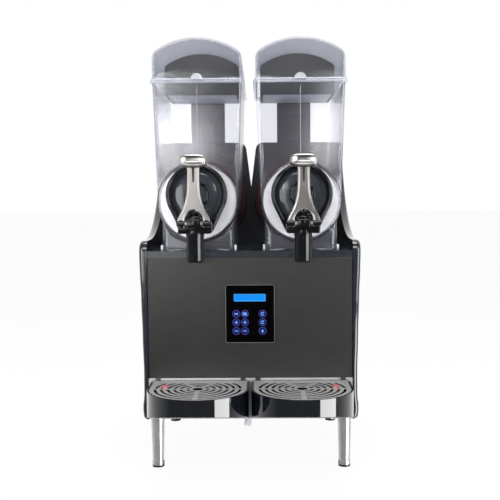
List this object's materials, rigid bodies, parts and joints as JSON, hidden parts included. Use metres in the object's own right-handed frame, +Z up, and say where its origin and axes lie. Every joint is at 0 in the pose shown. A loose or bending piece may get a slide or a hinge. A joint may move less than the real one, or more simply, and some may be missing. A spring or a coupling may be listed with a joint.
{
  "type": "slushie machine",
  "caption": "Countertop frozen drink machine with clear bowls, pull taps, augers on cold drums, drip trays and a lit control panel.",
  "frame": {"origin": "on the floor, at the centre of the footprint box", "axes": "+Z up, +X to the right seen from the front, +Y to the back"},
  "size_m": [0.433, 0.5806, 0.85],
  "materials": {
    "steel_sheet": "galvanised sheet, satin",
    "brushed_front": "dark stainless, brushed sideways",
    "bright_plate": "bright stainless, fine brushed",
    "side_gloss": "moulded, glossy dark blue-grey",
    "deck_gloss": "moulded, glossy near black",
    "column_plastic": "moulded, satin dark grey",
    "red_rubber": "silicone, ribbed",
    "drum_steel": "stainless, satin",
    "motor_paint": "painted, satin",
    "leg_steel": "polished steel",
    "black_rubber": "matt",
    "fascia_glass": "black, high gloss",
    "display_blue": "lit liquid crystal window",
    "key_black": "black with a lit ring",
    "circuit_board": "solder resist",
    "compressor_black": "enamelled, semi-gloss",
    "fin_aluminium": "mill finish fins",
    "fan_plastic": "moulded, matt",
    "copper_pipe": "drawn copper",
    "drain_plastic": "translucent white",
    "clear_bowl": "clear moulded polycarbonate",
    "clear_lid": "clear moulded polycarbonate",
    "auger_white": "moulded white",
    "tap_black": "moulded, glossy black",
    "satin_lever": "satin plated",
    "spring_wire": "bright wire",
    "tray_gloss": "moulded, glossy black-blue",
    "float_red": "translucent red"
  },
  "bodies": {
    "cabinet": {"base_pan": "steel_sheet", "inner_frame": "steel_sheet", "front_panel": "brushed_front", "lower_front_plate": "bright_plate", "side_panel_left": "side_gloss", "side_panel_right": "side_gloss", "rear_panel": "steel_sheet", "top_deck": "deck_gloss", "rear_housing": "deck_gloss", "light_columns": "column_plastic", "bowl_gaskets": "red_rubber", "evaporators": "drum_steel", "gear_motors": "motor_paint", "legs": "leg_steel", "foot_tips": "black_rubber", "control_fascia": "fascia_glass", "control_display": "display_blue", "control_board": "circuit_board", "compressor": "compressor_black", "condenser": "fin_aluminium", "fan_motor": "motor_paint", "refrigerant_lines": "copper_pipe", "power_inlet": "fan_plastic", "drain_tube": "drain_plastic", "case_screws": "leg_steel"},
    "bowl_unit_left": {"bowl_left": "clear_bowl", "tap_body_left": "tap_black", "lever_spring_left": "spring_wire"},
    "lid_unit_left": {"lid_left": "clear_lid", "light_box_left": "column_plastic"},
    "lever_unit_left": {"tap_lever_left": "satin_lever"},
    "piston_unit_left": {"tap_piston_left": "tap_black"},
    "auger_unit_left": {"auger_left": "auger_white", "drive_shaft_left": "leg_steel"},
    "tray_unit_left": {"drip_tray_left": "tray_gloss"},
    "grid_unit_left": {"drip_grid_left": "drum_steel"},
    "float_unit_left": {"float_left": "float_red"},
    "bowl_unit_right": {"bowl_right": "clear_bowl", "tap_body_right": "tap_black", "lever_spring_right": "spring_wire"},
    "lid_unit_right": {"lid_right": "clear_lid", "light_box_right": "column_plastic"},
    "lever_unit_right": {"tap_lever_right": "satin_lever"},
    "piston_unit_right": {"tap_piston_right": "tap_black"},
    "auger_unit_right": {"auger_right": "auger_white", "drive_shaft_right": "leg_steel"},
    "tray_unit_right": {"drip_tray_right": "tray_gloss"},
    "grid_unit_right": {"drip_grid_right": "drum_steel"},
    "float_unit_right": {"float_right": "float_red"},
    "key_top_left_cap": {"key_top_left": "key_black"},
    "key_top_middle_cap": {"key_top_middle": "key_black"},
    "key_top_right_cap": {"key_top_right": "key_black"},
    "key_mid_left_cap": {"key_mid_left": "key_black"},
    "key_mid_middle_cap": {"key_mid_middle": "key_black"},
    "key_mid_right_cap": {"key_mid_right": "key_black"},
    "key_low_left_cap": {"key_low_left": "key_black"},
    "key_low_middle_cap": {"key_low_middle": "key_black"},
    "key_low_right_cap": {"key_low_right": "key_black"},
    "fan_rotor": {"fan_blade": "fan_plastic"},
    "rocker": {"power_rocker": "fan_plastic"}
  },
  "joints": [
    {"name": "bowl_slide_left", "type": "slide", "parent": "cabinet", "child": "bowl_unit_left", "axis": [0, -1, 0], "range_m": [0, 0.33]},
    {"name": "lid_lift_left", "type": "slide", "parent": "bowl_unit_left", "child": "lid_unit_left", "axis": [0, 0, 1], "range_m": [0, 0.12]},
    {"name": "lever_pull_left", "type": "hinge", "parent": "bowl_unit_left", "child": "lever_unit_left", "pos_m": [-0.101, -0.20975, 0.491], "axis": [1, 0, 0], "range_deg": [0, 40], "stiffness_Nm_per_rad": 0.6, "springref_deg": -20.05},
    {"name": "piston_lift_left", "type": "slide", "parent": "bowl_unit_left", "child": "piston_unit_left", "axis": [0, 0, 1], "range_m": [0, 0.018]},
    {"name": "auger_turn_left", "type": "hinge", "parent": "cabinet", "child": "auger_unit_left", "pos_m": [-0.101, 0.08025, 0.531], "axis": [0, -1, 0], "continuous": true},
    {"name": "tray_slide_left", "type": "slide", "parent": "cabinet", "child": "tray_unit_left", "axis": [0, -1, 0], "range_m": [0, 0.06]},
    {"name": "grid_lift_left", "type": "slide", "parent": "tray_unit_left", "child": "grid_unit_left", "axis": [0, 0, 1], "range_m": [0, 0.03]},
    {"name": "float_rise_left", "type": "slide", "parent": "tray_unit_left", "child": "float_unit_left", "axis": [0, 0, 1], "range_m": [0, 0.01]},
    {"name": "bowl_slide_right", "type": "slide", "parent": "cabinet", "child": "bowl_unit_right", "axis": [0, -1, 0], "range_m": [0, 0.33]},
    {"name": "lid_lift_right", "type": "slide", "parent": "bowl_unit_right", "child": "lid_unit_right", "axis": [0, 0, 1], "range_m": [0, 0.12]},
    {"name": "lever_pull_right", "type": "hinge", "parent": "bowl_unit_right", "child": "lever_unit_right", "pos_m": [0.101, -0.20975, 0.491], "axis": [1, 0, 0], "range_deg": [0, 40], "stiffness_Nm_per_rad": 0.6, "springref_deg": -20.05},
    {"name": "piston_lift_right", "type": "slide", "parent": "bowl_unit_right", "child": "piston_unit_right", "axis": [0, 0, 1], "range_m": [0, 0.018]},
    {"name": "auger_turn_right", "type": "hinge", "parent": "cabinet", "child": "auger_unit_right", "pos_m": [0.101, 0.08025, 0.531], "axis": [0, -1, 0], "continuous": true},
    {"name": "tray_slide_right", "type": "slide", "parent": "cabinet", "child": "tray_unit_right", "axis": [0, -1, 0], "range_m": [0, 0.06]},
    {"name": "grid_lift_right", "type": "slide", "parent": "tray_unit_right", "child": "grid_unit_right", "axis": [0, 0, 1], "range_m": [0, 0.03]},
    {"name": "float_rise_right", "type": "slide", "parent": "tray_unit_right", "child": "float_unit_right", "axis": [0, 0, 1], "range_m": [0, 0.01]},
    {"name": "key_top_left_press", "type": "slide", "parent": "cabinet", "child": "key_top_left_cap", "axis": [0, 1, 0], "range_m": [0, 0.0006], "stiffness_N_per_m": 400, "springref_m": -0.0004},
    {"name": "key_top_middle_press", "type": "slide", "parent": "cabinet", "child": "key_top_middle_cap", "axis": [0, 1, 0], "range_m": [0, 0.0006], "stiffness_N_per_m": 400, "springref_m": -0.0004},
    {"name": "key_top_right_press", "type": "slide", "parent": "cabinet", "child": "key_top_right_cap", "axis": [0, 1, 0], "range_m": [0, 0.0006], "stiffness_N_per_m": 400, "springref_m": -0.0004},
    {"name": "key_mid_left_press", "type": "slide", "parent": "cabinet", "child": "key_mid_left_cap", "axis": [0, 1, 0], "range_m": [0, 0.0006], "stiffness_N_per_m": 400, "springref_m": -0.0004},
    {"name": "key_mid_middle_press", "type": "slide", "parent": "cabinet", "child": "key_mid_middle_cap", "axis": [0, 1, 0], "range_m": [0, 0.0006], "stiffness_N_per_m": 400, "springref_m": -0.0004},
    {"name": "key_mid_right_press", "type": "slide", "parent": "cabinet", "child": "key_mid_right_cap", "axis": [0, 1, 0], "range_m": [0, 0.0006], "stiffness_N_per_m": 400, "springref_m": -0.0004},
    {"name": "key_low_left_press", "type": "slide", "parent": "cabinet", "child": "key_low_left_cap", "axis": [0, 1, 0], "range_m": [0, 0.0006], "stiffness_N_per_m": 400, "springref_m": -0.0004},
    {"name": "key_low_middle_press", "type": "slide", "parent": "cabinet", "child": "key_low_middle_cap", "axis": [0, 1, 0], "range_m": [0, 0.0006], "stiffness_N_per_m": 400, "springref_m": -0.0004},
    {"name": "key_low_right_press", "type": "slide", "parent": "cabinet", "child": "key_low_right_cap", "axis": [0, 1, 0], "range_m": [0, 0.0006], "stiffness_N_per_m": 400, "springref_m": -0.0004},
    {"name": "fan_turn", "type": "hinge", "parent": "cabinet", "child": "fan_rotor", "pos_m": [0.10435, 0.21025, 0.20725], "axis": [0, 1, 0], "continuous": true},
    {"name": "power_switch", "type": "hinge", "parent": "cabinet", "child": "rocker", "pos_m": [-0.099, 0.28125, 0.164], "axis": [-1, 0, 0], "range_deg": [0, 14]}
  ],
  "couplings": [
    {"joint": "piston_lift_left", "follows": "lever_pull_left", "m_per_rad": 0.0245},
    {"joint": "piston_lift_right", "follows": "lever_pull_right", "m_per_rad": 0.0245}
  ]
}
